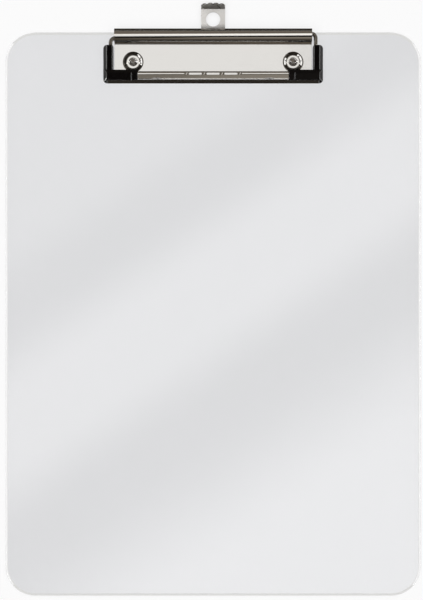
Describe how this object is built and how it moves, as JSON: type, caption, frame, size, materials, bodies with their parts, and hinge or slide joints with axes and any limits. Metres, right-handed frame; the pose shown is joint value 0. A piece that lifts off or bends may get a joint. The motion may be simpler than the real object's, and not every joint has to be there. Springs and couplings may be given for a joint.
{
  "type": "clipboard",
  "caption": "Clear clipboard with rounded corners, a nickel wire-sprung clip with a rolled barrel and black corner caps, and a sliding hang tab.",
  "frame": {"origin": "centre of the bounding box, at the level of the board's back", "axes": "+X across the board, +Y along the board towards the clip and the hang tab, +Z out of the board's front"},
  "size_m": [0.23, 0.328, 0.0122],
  "materials": {
    "clear_plastic": "polished clear",
    "nickel_plate": "bright nickel plated",
    "rivet_metal": "bright nickel plated",
    "washer_steel": "zinc plated",
    "spring_steel": "drawn and plated",
    "black_plastic": "glossy black"
  },
  "bodies": {
    "base": {"board": "clear_plastic", "base_plate": "nickel_plate", "rivet_left": "rivet_metal", "rivet_right": "rivet_metal", "washer_left": "washer_steel", "washer_right": "washer_steel"},
    "clamp": {"jaw": "nickel_plate", "spring_wire": "spring_steel", "corner_cap_left": "black_plastic", "corner_cap_right": "black_plastic"},
    "tab": {"hang_tab": "nickel_plate"}
  },
  "joints": [
    {"name": "jaw_lift", "type": "hinge", "parent": "base", "child": "clamp", "pos_m": [0, 0.14545, 0.0081], "axis": [-1, 0, 0], "range_deg": [0, 60], "stiffness_Nm_per_rad": 0.8, "springref_deg": -20.05},
    {"name": "tab_slide", "type": "slide", "parent": "base", "child": "tab", "axis": [0, 1, 0], "range_m": [-0.013, 0]}
  ]
}
